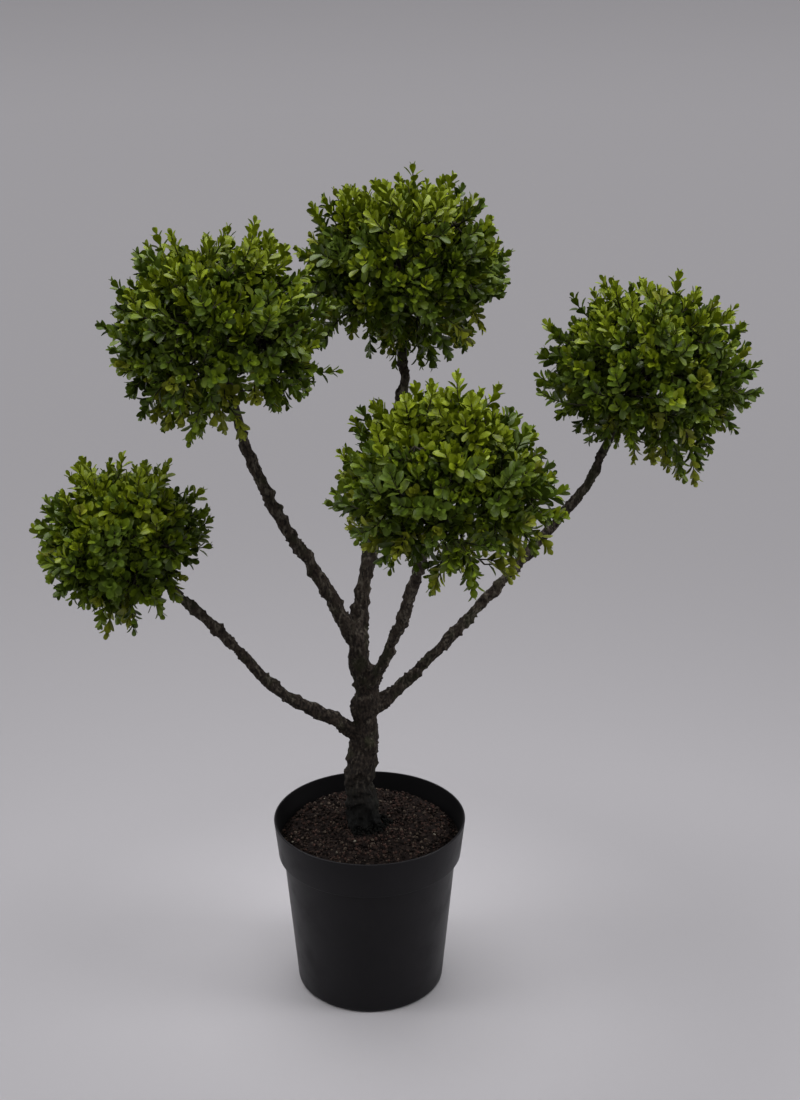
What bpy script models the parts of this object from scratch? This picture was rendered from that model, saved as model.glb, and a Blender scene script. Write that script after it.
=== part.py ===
# A potted artificial boxwood, trained as a cloud tree: one short trunk, five bare boughs
# with a clipped ball of leaves on each, and a round nursery pot filled to under its rim.
# Metres, +Z up. The origin is the centre of the pot's flat underside, and the side that
# faces the viewer is -Y.

import math
import random

import bmesh
import bpy
from mathutils import Matrix, Vector, noise

# The clearance that neighbouring solids keep
GAP = 0.0003

# The nursery pot, a tapered shell with a wider band under its rim
POT_HEIGHT = 0.180
POT_RIM_RADIUS = 0.0945
POT_BAND_HEIGHT = 0.038
POT_BAND_RADIUS = 0.0903
POT_SHOULDER_RADIUS = 0.0855
POT_FOOT_RADIUS = 0.0728
POT_FOOT_ROUND = 0.0050
POT_WALL = 0.0022
POT_FLOOR = 0.0030
POT_STEPS = 44

# The filler, level round the trunk and sunk next to the pot's wall
SOIL_BELOW_RIM = 0.024
SOIL_MOUND = 0.012
SOIL_FLAT_RADIUS = 0.074
SOIL_RINGS = 3

# The trunk, from its flat foot on the filler to the fork of the two highest boughs
TRUNK_FOOT = (-0.0046, 0.004)
TRUNK_ROUTE = [
    (-0.0092, 0.004, 0.209), (-0.0048, 0.004, 0.250), (-0.0022, 0.005, 0.290), (-0.0054, 0.006, 0.332),
]
TRUNK_FORK = (-0.0125, 0.008, 0.376)
TRUNK_THICK = 0.0145
TRUNK_THIN = 0.0108
ROOT_FLARE = 0.0042
ROOT_FLARE_HEIGHT = 0.034
ROOT_LOBES = 5
ROOT_LOBE_DEPTH = 0.12
TRUNK_SIDES = 12

# Points along each stretch of a limb's curve, before it is divided evenly into rings
CURVE_STEPS = 24
RING_SPACING = 0.0090

# Bark relief, as shares of the limb's radius, and the sizes of its lumps
BARK_COARSE = 0.30
BARK_COARSE_SIZE = 0.024
BARK_FINE = 0.34
BARK_FINE_SIZE = 0.010

# Boughs swell into a collar where they leave the trunk
BOUGH_SIDES = 8
COLLAR_LENGTH = 0.014
COLLAR_SWELL = 0.30

# Each ball of leaves: its centre, its reach sideways, and its height as a share of that
BALLS = {
    "low_left": {"centre": (-0.2195, -0.050, 0.4860), "reach": 0.0875, "height": 0.98},
    "upper_left": {"centre": (-0.1345, -0.020, 0.6690), "reach": 0.1030, "height": 1.01},
    "top": {"centre": (0.0330, 0.110, 0.7020), "reach": 0.1060, "height": 0.94},
    "front": {"centre": (0.0690, -0.100, 0.5570), "reach": 0.1045, "height": 0.96},
    "right": {"centre": (0.2595, 0.050, 0.6170), "reach": 0.1040, "height": 0.94},
}

# Each bough: where it springs from inside the trunk, the points it bends through, and its
# radius at either end. It ends inside the leaves of the ball with the same name.
BOUGHS = {
    "low_left": {
        "root": (-0.0045, 0.004, 0.262),
        "route": [(-0.034, -0.004, 0.288), (-0.085, -0.017, 0.324), (-0.129, -0.028, 0.380)],
        "thick": 0.0068,
        "thin": 0.0050,
    },
    "right": {
        "root": (-0.0010, 0.006, 0.290),
        "route": [(0.027, 0.011, 0.3125), (0.0845, 0.021, 0.371), (0.1965, 0.039, 0.498)],
        "thick": 0.0065,
        "thin": 0.0048,
    },
    "front": {
        "root": (-0.0030, 0.003, 0.316),
        "route": [(0.0158, -0.012, 0.356), (0.0325, -0.033, 0.407)],
        "thick": 0.0063,
        "thin": 0.0054,
    },
    "upper_left": {
        "root": (-0.0125, 0.008, 0.366),
        "route": [(-0.0435, 0.004, 0.4275), (-0.0850, -0.004, 0.502), (-0.1090, -0.011, 0.5625)],
        "thick": 0.0070,
        "thin": 0.0050,
    },
    "top": {
        "root": (-0.0125, 0.009, 0.362),
        "route": [(-0.0075, 0.017, 0.3975), (0.0000, 0.029, 0.4400), (0.0320, 0.073, 0.589)],
        "thick": 0.0073,
        "thin": 0.0054,
    },
}

# Inside a ball, as shares of its reach: the core, and where bough, twigs and shoots end
CORE = 0.69
BOUGH_ENDS_AT = 0.80
TWIGS_FORK_AT = 0.50
SHOOTS_END_AT = 0.84
CLIPPED_WITHIN = 0.04
CORE_SUBDIVISIONS = 2
CORE_LUMPS = 0.16
CORE_LUMP_SIZE = 0.030

# Twigs spring from the stem's end, and each shoot from the fork of the nearest twig
TWIGS = 12
SHOOTS = 32
SHOOTS_ARE_FOR_REACH = 0.100
TWIG_RADIUS = 0.0030
SHOOT_RADIUS = 0.0045
SHOOT_JITTER = 0.06
DROOP = 0.30
FIRST_SEED = 11

# Leaves: each grows out of one face of its shoot, at a share of the shoot's length. They
# are larger than life, because there are fewer of them.
LEAF_LENGTH = 0.034
LEAF_WIDTH = 0.0210
LEAF_THICKNESS = 0.0024
LEAF_WIDEST_AT = 0.60
LEAF_SUNK = 0.45
LEAF_PLACES = (0.74, 0.64, 0.54)
LEAF_TILTS = (math.radians(22), math.radians(58), math.radians(74))
LIMB_CLEARANCE = 0.0015


def clear_scene():
    for existing in list(bpy.data.objects):
        bpy.data.objects.remove(existing, do_unlink=True)


def plain_material(name, color, roughness, metallic=0.0):
    material = bpy.data.materials.new(name)
    material.use_nodes = True
    shader = material.node_tree.nodes["Principled BSDF"]
    shader.inputs["Base Color"].default_value = (*color, 1.0)
    shader.inputs["Roughness"].default_value = roughness
    shader.inputs["Metallic"].default_value = metallic
    material.diffuse_color = (*color, 1.0)
    return material


def add_object(name, mesh, material=None, collection=None):
    item = bpy.data.objects.new(name, mesh)
    (collection or bpy.context.scene.collection).objects.link(item)
    if material:
        mesh.materials.append(material)
    return item


def mesh_from(bm, name, smooth_angle=None):
    bmesh.ops.recalc_face_normals(bm, faces=bm.faces)
    mesh = bpy.data.meshes.new(name)
    bm.to_mesh(mesh)
    bm.free()
    if smooth_angle is not None:
        mesh.shade_smooth()
        mesh.set_sharp_from_angle(angle=smooth_angle)
    return mesh


def turned(name, profile, material):
    """A solid turned about +Z. The profile runs down its outer side and ends on the axis."""
    mesh = bpy.data.meshes.new(name)
    points = [(radius, 0.0, height) for radius, height in profile]
    mesh.from_pydata(points, [(i, i + 1) for i in range(len(points) - 1)], [])
    item = add_object(name, mesh, material)
    screw = item.modifiers.new("Turn", "SCREW")
    screw.axis = "Z"
    screw.steps = POT_STEPS
    screw.render_steps = POT_STEPS
    screw.use_merge_vertices = True
    screw.merge_threshold = 0.00002
    screw.use_smooth_shade = True
    return item


def pot(material):
    inner_floor = POT_FOOT_RADIUS - POT_WALL
    shelf = POT_HEIGHT - POT_BAND_HEIGHT
    profile = [
        (0.0, POT_FLOOR),
        (inner_floor, POT_FLOOR),
        (POT_SHOULDER_RADIUS - POT_WALL, shelf),
        (POT_BAND_RADIUS - POT_WALL, shelf + POT_WALL),
        (POT_RIM_RADIUS - POT_WALL, POT_HEIGHT - POT_WALL / 4),
        (POT_RIM_RADIUS - POT_WALL / 2, POT_HEIGHT),
        (POT_RIM_RADIUS, POT_HEIGHT - POT_WALL / 2),
        (POT_BAND_RADIUS, shelf),
        (POT_SHOULDER_RADIUS, shelf - POT_WALL / 4),
        (POT_FOOT_RADIUS, POT_FOOT_ROUND),
        (POT_FOOT_RADIUS - POT_FOOT_ROUND, 0.0),
        (0.0, 0.0),
    ]
    return turned("pot", profile, material)


def soil_level():
    """The height of the filler where it meets the pot."""
    return POT_HEIGHT - SOIL_BELOW_RIM


def soil(material):
    shelf = POT_HEIGHT - POT_BAND_HEIGHT
    edge = soil_level()
    slope = (POT_RIM_RADIUS - POT_BAND_RADIUS) / POT_BAND_HEIGHT
    edge_radius = POT_BAND_RADIUS - POT_WALL + (edge - shelf - POT_WALL) * slope - GAP
    profile = [(0.0, edge + SOIL_MOUND)]
    for ring in range(SOIL_RINGS + 1):
        share = ring / SOIL_RINGS
        radius = SOIL_FLAT_RADIUS + (edge_radius - SOIL_FLAT_RADIUS) * share
        rise = SOIL_MOUND * (1.0 + math.cos(math.pi * share)) / 2.0
        profile.append((radius, edge + rise))
    profile += [
        (POT_BAND_RADIUS - POT_WALL - GAP, shelf + POT_WALL + GAP),
        (POT_SHOULDER_RADIUS - POT_WALL - GAP, shelf + GAP),
        (POT_FOOT_RADIUS - POT_WALL - GAP, POT_FLOOR + GAP),
        (0.0, POT_FLOOR + GAP),
    ]
    return turned("soil", profile, material)


def smooth_path(points, spacing):
    """Points at even steps along a Catmull-Rom curve through the given points."""
    points = [Vector(point) for point in points]
    before = points[0] * 2 - points[1]
    after = points[-1] * 2 - points[-2]
    padded = [before, *points, after]
    dense = []
    for i in range(1, len(padded) - 2):
        a, b, c, d = padded[i - 1 : i + 3]
        for step in range(CURVE_STEPS):
            t = step / CURVE_STEPS
            dense.append(
                0.5 * (2 * b + (c - a) * t + (2 * a - 5 * b + 4 * c - d) * t**2
                       + (3 * b - a - 3 * c + d) * t**3)
            )
    dense.append(points[-1])
    lengths = [0.0]
    for start, end in zip(dense, dense[1:]):
        lengths.append(lengths[-1] + (end - start).length)
    count = max(2, round(lengths[-1] / spacing))
    path = []
    place = 0
    for i in range(count + 1):
        wanted = lengths[-1] * i / count
        while place < len(dense) - 2 and lengths[place + 1] < wanted:
            place += 1
        stretch = lengths[place + 1] - lengths[place]
        path.append(dense[place].lerp(dense[place + 1], (wanted - lengths[place]) / stretch))
    return path


def bark_relief(point):
    """How far the bark stands out at a point, as a share of the limb's radius."""
    coarse = noise.noise(point / BARK_COARSE_SIZE)
    fine = noise.noise(point / BARK_FINE_SIZE)
    return 1.0 + BARK_COARSE * coarse + BARK_FINE * fine


def limb(name, path, radius_at, sides, material):
    """A rough limb along a path. radius_at takes a share of its length and an angle."""
    bm = bmesh.new()
    rings = []
    along = (path[1] - path[0]).normalized()
    across = along.orthogonal().normalized()
    for i, centre in enumerate(path):
        nearby = path[min(i + 1, len(path) - 1)] - path[max(i - 1, 0)]
        turn = along.rotation_difference(nearby.normalized())
        along = nearby.normalized()
        across = (turn @ across).normalized()
        share = i / (len(path) - 1)
        ring = []
        for side in range(sides):
            angle = 2 * math.pi * side / sides
            outward = Matrix.Rotation(angle, 3, along) @ across
            radius = radius_at(share, angle)
            radius *= bark_relief(centre + outward * radius)
            ring.append(bm.verts.new(centre + outward * radius))
        rings.append(ring)
    for lower, upper in zip(rings, rings[1:]):
        for side in range(sides):
            following = (side + 1) % sides
            bm.faces.new((lower[side], lower[following], upper[following], upper[side]))
    bm.faces.new(rings[0])
    bm.faces.new(rings[-1])
    bmesh.ops.triangulate(bm, faces=bm.faces)
    return add_object(name, mesh_from(bm, name, math.radians(60)), material)


def trunk(material):
    foot = Vector((*TRUNK_FOOT, soil_level() + SOIL_MOUND + GAP))
    path = smooth_path([foot, *TRUNK_ROUTE, TRUNK_FORK], RING_SPACING)
    height = path[-1].z - foot.z

    def radius_at(share, angle):
        flare = math.exp(-share * height / ROOT_FLARE_HEIGHT)
        lobes = 1.0 + ROOT_LOBE_DEPTH * math.cos(ROOT_LOBES * angle)
        return TRUNK_THICK + (TRUNK_THIN - TRUNK_THICK) * share + ROOT_FLARE * flare * lobes

    item = limb("trunk", path, radius_at, TRUNK_SIDES, material)
    for vertex in item.data.vertices:
        if vertex.index < TRUNK_SIDES:
            vertex.co.z = foot.z
    return item, path


def route_of(name):
    """The route from inside the trunk to the place where the bough ends in its ball."""
    ball = BALLS[name]
    centre = Vector(ball["centre"])
    last = Vector(BOUGHS[name]["route"][-1])
    end = centre + (last - centre).normalized() * ball["reach"] * BOUGH_ENDS_AT
    return smooth_path([BOUGHS[name]["root"], *BOUGHS[name]["route"], end], RING_SPACING)


def bough(name, material):
    path = route_of(name)
    thick = BOUGHS[name]["thick"]
    thin = BOUGHS[name]["thin"]
    length = RING_SPACING * (len(path) - 1)

    def radius_at(share, angle):
        from_trunk = max(0.0, share * length - TRUNK_THICK)
        collar = 1.0 + COLLAR_SWELL * math.exp(-from_trunk / COLLAR_LENGTH)
        return (thick + (thin - thick) * share) * collar

    return limb("bough_" + name, path, radius_at, BOUGH_SIDES, material), path


def cutter_around(item):
    """A hidden cutter: the item's mesh with its surface moved outward by the clearance."""
    mesh = item.data.copy()
    for vertex, original in zip(mesh.vertices, item.data.vertices):
        vertex.co += original.normal * GAP
    cutter = add_object(item.name + "_cutter", mesh)
    cutter.hide_render = True
    cutter.display_type = "WIRE"
    return cutter


def cut_clear(item, cutter, solver="EXACT"):
    cut = item.modifiers.new("Clear of " + cutter.name, "BOOLEAN")
    cut.operation = "DIFFERENCE"
    cut.solver = solver
    cut.object = cutter


def spiral_directions(count):
    """Directions that cover a sphere evenly, each turned from the last by the golden angle."""
    golden = math.pi * (3.0 - math.sqrt(5.0))
    for i in range(count):
        height = 1.0 - (2.0 * i + 1.0) / count
        ring = math.sqrt(1.0 - height * height)
        yield Vector((ring * math.cos(golden * i), ring * math.sin(golden * i), height))


def spike(start, end, radius, across=None):
    """A three-sided twig that tapers to a point. One of its edges lies along across."""
    along = (end - start).normalized()
    across = across or along.orthogonal().normalized()
    bm = bmesh.new()
    tip = bm.verts.new(end)
    foot = []
    for side in range(3):
        outward = Matrix.Rotation(2 * math.pi * side / 3, 3, along) @ across
        foot.append(bm.verts.new(start + outward * radius))
    for side in range(3):
        bm.faces.new((foot[side], foot[(side + 1) % 3], tip))
    bm.faces.new(foot)
    return bm


def leaf_corners(root, along, normal, length):
    """Root, tip, two edges and the two faces of a leaf that is widest past its middle."""
    across = along.cross(normal).normalized()
    width = LEAF_WIDTH * length / LEAF_LENGTH
    middle = root + along * length * LEAF_WIDEST_AT
    return [
        root,
        root + along * length,
        middle + across * width / 2,
        middle - across * width / 2,
        middle + normal * LEAF_THICKNESS / 2,
        middle - normal * LEAF_THICKNESS / 2,
    ]


def leaf(corners):
    bm = bmesh.new()
    root, tip, left, right, upper, lower = [bm.verts.new(corner) for corner in corners]
    for edge in (left, right):
        for face in (upper, lower):
            bm.faces.new((root, edge, face))
            bm.faces.new((tip, edge, face))
    return bm


class Ball:
    """One clipped ball of leaves: its own space, its loose pieces and the limbs near it."""

    def __init__(self, name, limbs):
        sizes = BALLS[name]
        self.name = name
        self.centre = Vector(sizes["centre"])
        self.reach = sizes["reach"]
        self.scale = Vector((1.0, 1.0, sizes["height"]))
        self.limbs = limbs
        self.pieces = bpy.data.collections.new("foliage_" + name + "_pieces")
        self.count = 0

    def place(self, direction, share):
        """The point at a share of the ball's reach in a direction."""
        return self.centre + direction * self.scale * self.reach * share

    def holds(self, point):
        """Whether a point lies in the ball's own space."""
        offset = point - self.centre
        offset.z /= self.scale.z
        return offset.length <= self.reach

    def clear(self, point):
        """Whether a point stays off every limb."""
        for path, radius in self.limbs:
            for centre in path:
                if (centre - point).length < radius + LIMB_CLEARANCE:
                    return False
        return True

    def add(self, bm):
        self.count += 1
        name = f"{self.name}_piece_{self.count}"
        add_object(name, mesh_from(bm, name), collection=self.pieces)

    def add_leaf(self, root, along, normal, length):
        corners = leaf_corners(root, along, normal, length)
        middle = (corners[0] + corners[1]) / 2
        inside = all(self.holds(corner) for corner in corners)
        if inside and all(self.clear(corner) for corner in [*corners, middle]):
            self.add(leaf(corners))


def shoot_with_leaves(ball, rng, fork, direction):
    """A side shoot from a twig's fork, with a leaf out of each of its three faces."""
    clipped = 1.0 - rng.random() * CLIPPED_WITHIN
    end = ball.place(direction, SHOOTS_END_AT * clipped)
    end.z -= DROOP * max(0.0, -direction.z) * ball.reach * (SHOOTS_END_AT - TWIGS_FORK_AT)
    if not ball.clear(end):
        return
    along = (end - fork).normalized()
    across = Matrix.Rotation(rng.uniform(0.0, math.pi), 3, along) @ along.orthogonal().normalized()
    ball.add(spike(fork, end, SHOOT_RADIUS, across))
    for place, (share, tilt) in enumerate(zip(LEAF_PLACES, LEAF_TILTS)):
        facing = Matrix.Rotation(math.pi / 3 + place * 2 * math.pi / 3, 3, along) @ across
        tilt *= rng.uniform(0.9, 1.1)
        outward = along * math.cos(tilt) + facing * math.sin(tilt)
        normal = along * math.sin(tilt) - facing * math.cos(tilt)
        root = fork.lerp(end, share) - facing * LEAF_SUNK * SHOOT_RADIUS * (1.0 - share)
        length = LEAF_LENGTH * rng.uniform(0.9, 1.05)
        if place == 0:
            length = (ball.place(direction, clipped) - root).length
        ball.add_leaf(root, outward, normal, length)


def largest_shell(mesh):
    """Keeps the outer body: sealed hollows are filled, and loose scraps are dropped."""
    bm = bmesh.new()
    bm.from_mesh(mesh)
    left = set(bm.faces)
    shells = []
    while left:
        shell = []
        waiting = [left.pop()]
        while waiting:
            face = waiting.pop()
            shell.append(face)
            for edge in face.edges:
                for neighbour in edge.link_faces:
                    if neighbour in left:
                        left.remove(neighbour)
                        waiting.append(neighbour)
        shells.append(shell)
    shells.sort(key=len)
    for shell in shells[:-1]:
        bmesh.ops.delete(bm, geom=shell, context="FACES")
    bm.to_mesh(mesh)
    bm.free()


def core(ball, material):
    bm = bmesh.new()
    bmesh.ops.create_icosphere(bm, subdivisions=CORE_SUBDIVISIONS, radius=1.0)
    for vertex in bm.verts:
        lump = noise.noise((vertex.co * ball.reach + ball.centre) / CORE_LUMP_SIZE)
        vertex.co = ball.place(vertex.co.normalized(), CORE * (1.0 + CORE_LUMPS * lump))
    return add_object("foliage_" + ball.name, mesh_from(bm, "foliage_" + ball.name), material)


def foliage(name, limbs, bough_path, stem_radius, seed, material):
    """One ball: a stem that carries on from its bough, a core, and the twigs with leaves."""
    rng = random.Random(seed)
    ball = Ball(name, limbs)
    item = core(ball, material)
    onward = (bough_path[-1] - bough_path[-2]).normalized()
    stem_foot = bough_path[-1] + onward * GAP
    ball.add(spike(stem_foot, stem_foot + onward * ball.reach * BOUGH_ENDS_AT, stem_radius))
    spin = Matrix.Rotation(rng.uniform(0.0, 2 * math.pi), 3, "Z")
    forks = []
    for direction in spiral_directions(TWIGS):
        fork = ball.place(direction, TWIGS_FORK_AT)
        forks.append((direction, fork))
        ball.add(spike(ball.centre, fork, TWIG_RADIUS))
    shoots = round(SHOOTS * (ball.reach / SHOOTS_ARE_FOR_REACH) ** 2)
    for direction in spiral_directions(shoots):
        jitter = Vector([rng.uniform(-SHOOT_JITTER, SHOOT_JITTER) for _ in range(3)])
        direction = (spin @ direction + jitter).normalized()
        fork = max(forks, key=lambda pair: pair[0].dot(direction))[1]
        shoot_with_leaves(ball, rng, fork, direction)
    # The manifold solver, because the exact one loses faces where many leaves meet
    join = item.modifiers.new("Join", "BOOLEAN")
    join.operation = "UNION"
    join.solver = "MANIFOLD"
    join.operand_type = "COLLECTION"
    join.collection = ball.pieces
    graph = bpy.context.evaluated_depsgraph_get()
    joined = bpy.data.meshes.new_from_object(item.evaluated_get(graph))
    item.modifiers.clear()
    item.data = joined
    for piece in list(ball.pieces.objects):
        bpy.data.objects.remove(piece, do_unlink=True)
    bpy.data.collections.remove(ball.pieces)
    largest_shell(item.data)
    return item


def main():
    clear_scene()
    plastic = plain_material("Black plastic", (0.020, 0.019, 0.023), 0.45)
    filler = plain_material("Brown filler", (0.060, 0.035, 0.022), 0.95)
    bark = plain_material("Dark bark", (0.055, 0.046, 0.036), 0.90)
    leaves = plain_material("Boxwood green", (0.090, 0.190, 0.020), 0.50)

    pot(plastic)
    soil(filler)
    trunk_item, trunk_path = trunk(bark)
    trunk_cutter = cutter_around(trunk_item)
    limbs = [(trunk_path, TRUNK_THICK)]
    paths = {}
    for name in BOUGHS:
        item, path = bough(name, bark)
        cut_clear(item, trunk_cutter)
        if name == "top":
            # The exact solver leaves nothing of this bough after a second cut
            cut_clear(item, cutter_around(bpy.data.objects["bough_upper_left"]), "MANIFOLD")
        limbs.append((path, BOUGHS[name]["thick"] * (1.0 + COLLAR_SWELL)))
        paths[name] = path
    for seed, name in enumerate(BALLS):
        foliage(name, limbs, paths[name], BOUGHS[name]["thin"], seed + FIRST_SEED, leaves)


main()
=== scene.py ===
import itertools
import math
import random

import bpy
import numpy as np
from mathutils import Matrix, Vector, noise


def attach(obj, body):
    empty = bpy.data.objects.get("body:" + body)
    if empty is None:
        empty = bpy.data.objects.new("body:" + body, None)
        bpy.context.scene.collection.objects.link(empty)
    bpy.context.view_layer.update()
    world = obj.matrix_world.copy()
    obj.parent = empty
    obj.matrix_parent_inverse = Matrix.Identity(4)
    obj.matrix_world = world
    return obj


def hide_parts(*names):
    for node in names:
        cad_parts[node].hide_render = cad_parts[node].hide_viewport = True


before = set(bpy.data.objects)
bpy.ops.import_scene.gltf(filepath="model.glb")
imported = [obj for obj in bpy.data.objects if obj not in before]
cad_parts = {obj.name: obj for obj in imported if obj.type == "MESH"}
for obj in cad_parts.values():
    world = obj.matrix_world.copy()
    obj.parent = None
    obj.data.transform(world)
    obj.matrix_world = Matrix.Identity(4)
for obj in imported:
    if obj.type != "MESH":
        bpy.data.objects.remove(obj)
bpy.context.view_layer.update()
print("frame:", len(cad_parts), "nodes")


class Wire:
    # an output socket; each sign of arithmetic on it adds a Math node, also in 1 - wire
    def __init__(self, finish, socket):
        self.finish = finish
        self.socket = socket

    def combined(self, operation, first, second):
        return self.finish.node("ShaderNodeMath", {"operation": operation}, {0: first, 1: second})

    def __add__(self, other):
        return self.combined("ADD", self, other)

    def __sub__(self, other):
        return self.combined("SUBTRACT", self, other)

    def __rsub__(self, other):
        return self.combined("SUBTRACT", other, self)

    def __mul__(self, other):
        return self.combined("MULTIPLY", self, other)

    __radd__ = __add__
    __rmul__ = __mul__


class Finish:
    # a material and its tree of nodes
    def __init__(self, name, plain):
        self.material = bpy.data.materials.new(name)
        self.material.use_nodes = True
        self.tree = self.material.node_tree
        self.shader = self.tree.nodes["Principled BSDF"]
        for socket, value in plain.items():
            self.feed(socket, value)

    def feed(self, socket, value):
        self.join(self.shader.inputs[socket], value)

    def join(self, socket, value):
        if isinstance(value, Wire):
            self.tree.links.new(value.socket, socket)
        else:
            socket.default_value = value

    def node(self, kind, settings=None, sockets=None, output=0):
        made = self.tree.nodes.new(kind)
        for name, value in (settings or {}).items():
            setattr(made, name, value)
        for name, value in (sockets or {}).items():
            self.join(made.inputs[name], value)
        return Wire(self, made.outputs[output])


def opaque(shade):
    # a colour with its alpha; a wire stays as it is
    return (*shade, 1.0) if isinstance(shade, tuple) else shade


def shades(shade, change):
    # a darker and a lighter one of the same colour
    return tuple(c * (1.0 - change) for c in shade), tuple(c * (1.0 + change) for c in shade)


# Patterns that several finishes share. A size is that of the pattern's lumps, in metres.
def spot(finish):
    # the place on a piece, in metres
    return finish.node("ShaderNodeTexCoord", output=3)


def heightOf(finish):
    return finish.node("ShaderNodeSeparateXYZ", None, {0: spot(finish)}, output=2)


def lengthOf(finish, vector):
    return finish.node("ShaderNodeVectorMath", {"operation": "LENGTH"}, {0: vector}, output=1)


def stretched(finish, share):
    # the place with its height drawn out, for patterns that run up and down
    return finish.node("ShaderNodeVectorMath", {"operation": "MULTIPLY"},
                       {0: spot(finish), 1: (1.0, 1.0, share)})


def lumps(finish, size, detail=3.0, at=None):
    return finish.node("ShaderNodeTexNoise", {"noise_dimensions": "3D"},
                       {"Vector": at or spot(finish), "Scale": 1.0 / size, "Detail": detail})


def blend(finish, share, first, second):
    # a colour between two others
    return finish.node("ShaderNodeMix", {"data_type": "RGBA"},
                       {0: share, 6: opaque(first), 7: opaque(second)}, output=2)


def between(finish, wire, low, high):
    # 0 where the wire is under low, 1 where it is over high
    return finish.node("ShaderNodeMapRange", {"interpolation_type": "SMOOTHSTEP"},
                       {"Value": wire, "From Min": low, "From Max": high})


def relief(finish, height, depth, strength=1.0):
    finish.feed("Normal", finish.node("ShaderNodeBump", None,
                                      {"Height": height, "Distance": depth, "Strength": strength}))


def shown(name, data):
    item = bpy.data.objects.new(name, data)
    bpy.context.scene.collection.objects.link(item)
    return item


# Meshes from arrays
def meshPiece(name, points, triangles, finish, smoothAngle=None):
    mesh = bpy.data.meshes.new(name)
    mesh.from_pydata(np.asarray(points, dtype=np.float32), [], np.asarray(triangles, dtype=np.int32))
    if smoothAngle is not None:
        mesh.shade_smooth()
        if smoothAngle < 180:
            mesh.set_sharp_from_angle(angle=math.radians(smoothAngle))
    mesh.materials.append(finish.material)
    return shown(name, mesh)


def settle(piece, slot, *nodes):
    # what every piece of the plant and pot needs
    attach(piece, "root")
    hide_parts(*nodes)


def joined(parts):
    # one set of points and triangles from several
    starts = np.cumsum([0] + [len(points) for points, _ in parts])
    return (np.concatenate([points for points, _ in parts]),
            np.concatenate([triangles + start for (_, triangles), start in zip(parts, starts)]))


def turnedMesh(profile, steps):
    # a closed skin turned about +Z from a profile that starts and ends on the axis
    profile = np.asarray(profile, dtype=float)
    angles = np.arange(steps) * 2 * math.pi / steps
    inner = profile[1:-1]
    ring = np.stack([np.cos(angles), np.sin(angles)], axis=1)
    points = np.empty((len(inner), steps, 3))
    points[:, :, :2] = inner[:, None, :1] * ring[None]
    points[:, :, 2] = inner[:, None, 1]
    count = len(inner) * steps
    ends = np.array([[0, 0, profile[0, 1]], [0, 0, profile[-1, 1]]])
    i = np.arange(steps)
    j = (i + 1) % steps
    faces = [np.stack([np.full(steps, count), i, j], axis=1)]
    for row in range(len(inner) - 1):
        a, b, c, d = row * steps + i, row * steps + j, (row + 1) * steps + j, (row + 1) * steps + i
        faces += [np.stack([a, d, c], axis=1), np.stack([a, c, b], axis=1)]
    last = (len(inner) - 1) * steps
    faces.append(np.stack([np.full(steps, count + 1), last + j, last + i], axis=1))
    return np.concatenate([points.reshape(-1, 3), ends]), np.concatenate(faces)


def bent(start, middle, end, steps):
    # points along a curve from start to end that leans towards the middle
    return [start.lerp(middle, t).lerp(middle.lerp(end, t), t)
            for t in (i / steps for i in range(steps + 1))]


def roundedCorner(before, corner, after, radius, steps=5):
    # the points of an arc that rounds a corner of a profile
    before, corner, after = Vector(before), Vector(corner), Vector(after)
    start = corner + (before - corner).normalized() * radius
    end = corner + (after - corner).normalized() * radius
    return [tuple(point) for point in bent(start, corner, end, steps)]


def smoothPath(points, spacing, steps=24):
    # points at even steps along a curve that runs through the given ones
    points = [Vector(point) for point in points]
    padded = [points[0] * 2 - points[1], *points, points[-1] * 2 - points[-2]]
    dense = []
    for a, b, c, d in zip(padded, padded[1:], padded[2:], padded[3:]):
        for t in (step / steps for step in range(steps)):
            dense.append(0.5 * (2 * b + (c - a) * t + (2 * a - 5 * b + 4 * c - d) * t**2
                                + (3 * b - a - 3 * c + d) * t**3))
    dense.append(points[-1])
    lengths = np.cumsum([0.0] + [(end - start).length for start, end in zip(dense, dense[1:])])
    count = max(2, round(lengths[-1] / spacing))
    wanted = np.linspace(0.0, lengths[-1], count + 1)
    dense = np.array(dense)
    return [Vector(point) for point in zip(*(np.interp(wanted, lengths, dense[:, k]) for k in range(3)))]


def ringFaces(rings, sides):
    # the triangles between rings of points
    faces = []
    for ring in range(rings - 1):
        for side in range(sides):
            a = ring * sides + side
            b = ring * sides + (side + 1) % sides
            faces += [(a, b, b + sides), (a, b + sides, a + sides)]
    return faces


def framesAlong(path):
    # the direction at each point of a path, with two directions across it that don't twist
    along = (path[1] - path[0]).normalized()
    across = along.orthogonal().normalized()
    frames = []
    for i in range(len(path)):
        onward = (path[min(i + 1, len(path) - 1)] - path[max(i - 1, 0)]).normalized()
        across = (along.rotation_difference(onward) @ across).normalized()
        along = onward
        frames.append((along, across, along.cross(across)))
    return frames


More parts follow.
